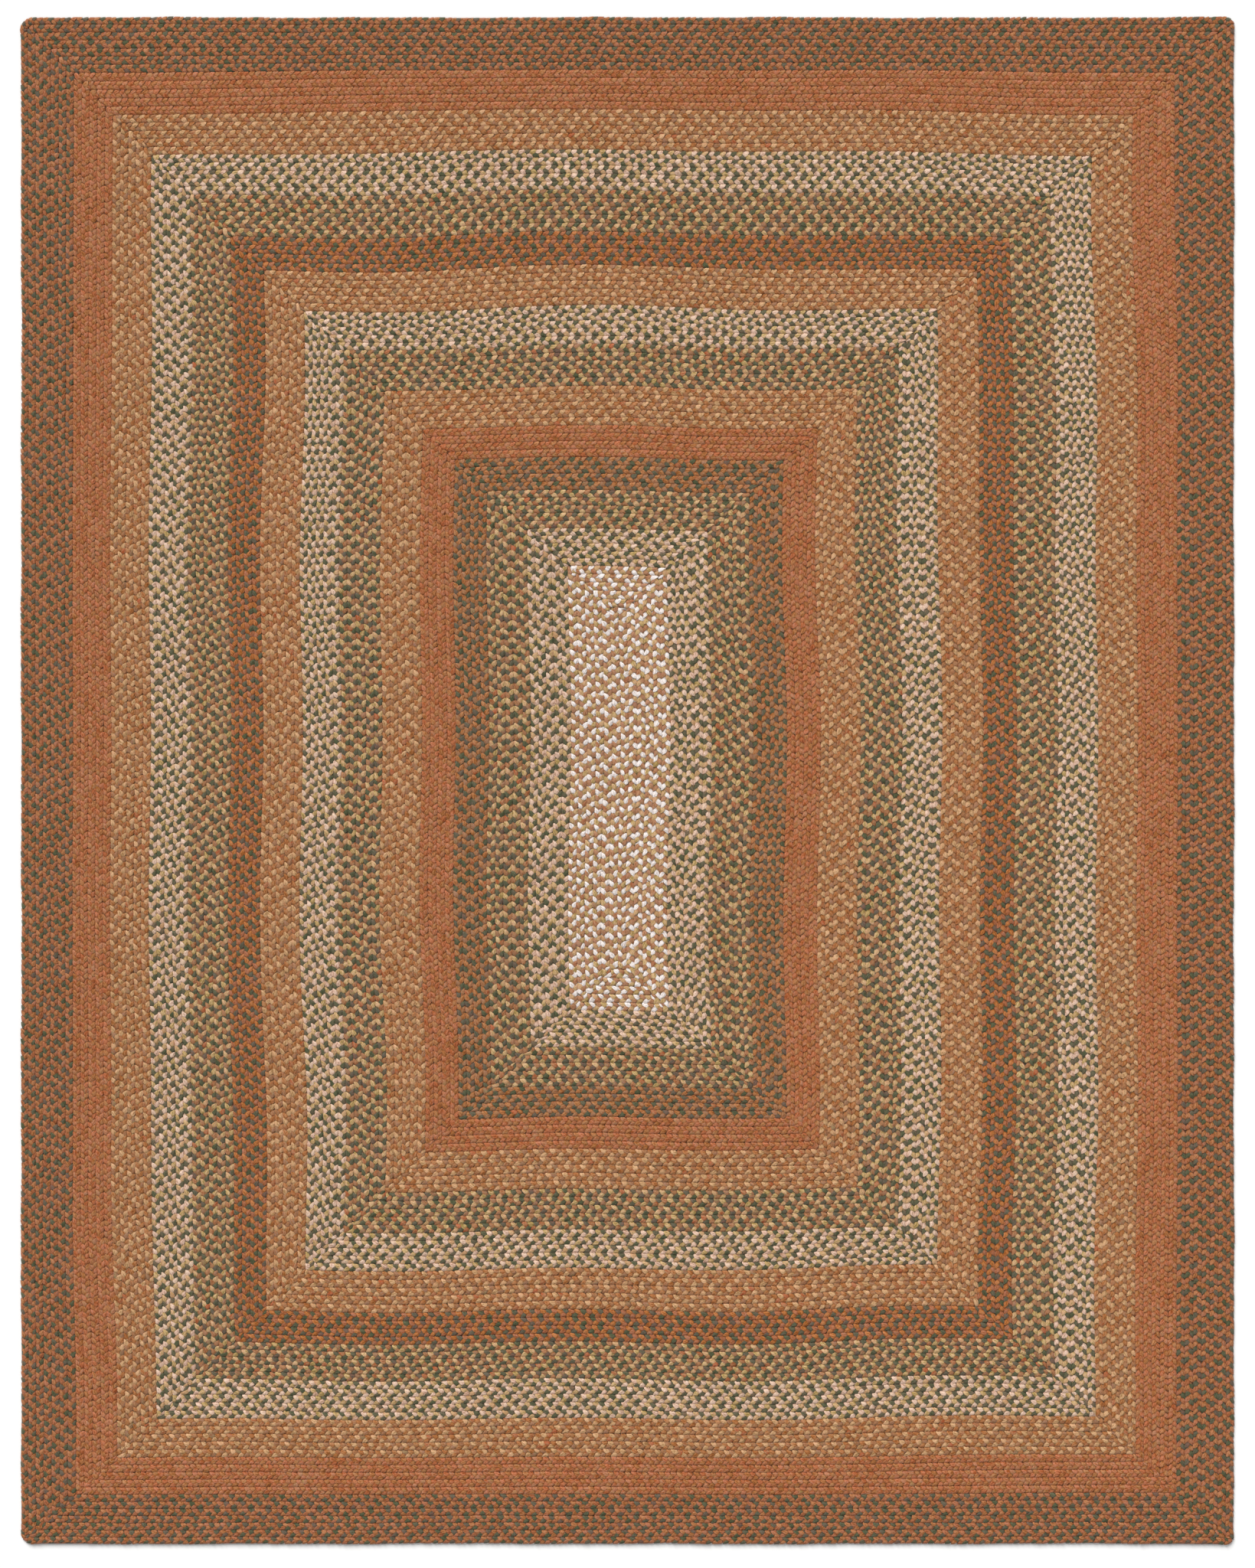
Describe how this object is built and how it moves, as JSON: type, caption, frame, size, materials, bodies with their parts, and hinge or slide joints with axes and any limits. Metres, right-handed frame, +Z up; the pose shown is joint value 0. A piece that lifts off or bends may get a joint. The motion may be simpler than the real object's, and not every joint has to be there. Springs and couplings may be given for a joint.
{
  "type": "braided rug",
  "caption": "Rectangular braided rug of flat braid laced in rounds, with colour bands framing a straight-braided centre.",
  "frame": {"origin": "on the floor under the middle of the rug, where its underside rests", "axes": "+Y along the rug's length, +X across its width, +Z up from the floor"},
  "size_m": [2.429, 3.056, 0.01],
  "materials": {
    "green_rust_braid": "matt variegated yarn braid, one slate green strand and two rust strands",
    "terracotta_braid": "matt variegated yarn braid, three terracotta strands",
    "tan_braid": "matt variegated yarn braid in tan, sand and terracotta",
    "blush_braid": "matt variegated yarn braid in blush pink, straw and slate green",
    "olive_braid": "matt variegated yarn braid in slate green, straw and brown",
    "rust_green_braid": "matt variegated yarn braid, one slate green strand and two bright rust strands",
    "green_terracotta_braid": "matt variegated yarn braid in slate green, rust and brown",
    "ivory_braid": "matt variegated yarn braid in ivory, straw and brown"
  },
  "bodies": {
    "root": {"border_green_rust": "green_rust_braid", "band_terracotta_outer": "terracotta_braid", "band_tan_outer": "tan_braid", "band_blush_outer": "blush_braid", "band_olive_outer": "olive_braid", "band_rust_green": "rust_green_braid", "band_tan_middle": "tan_braid", "band_blush_middle": "blush_braid", "band_olive_middle": "olive_braid", "band_tan_inner": "tan_braid", "band_terracotta_inner": "terracotta_braid", "band_green_terracotta": "green_terracotta_braid", "band_olive_inner": "olive_braid", "band_blush_inner": "blush_braid", "centre_panel": "ivory_braid"}
  },
  "joints": []
}
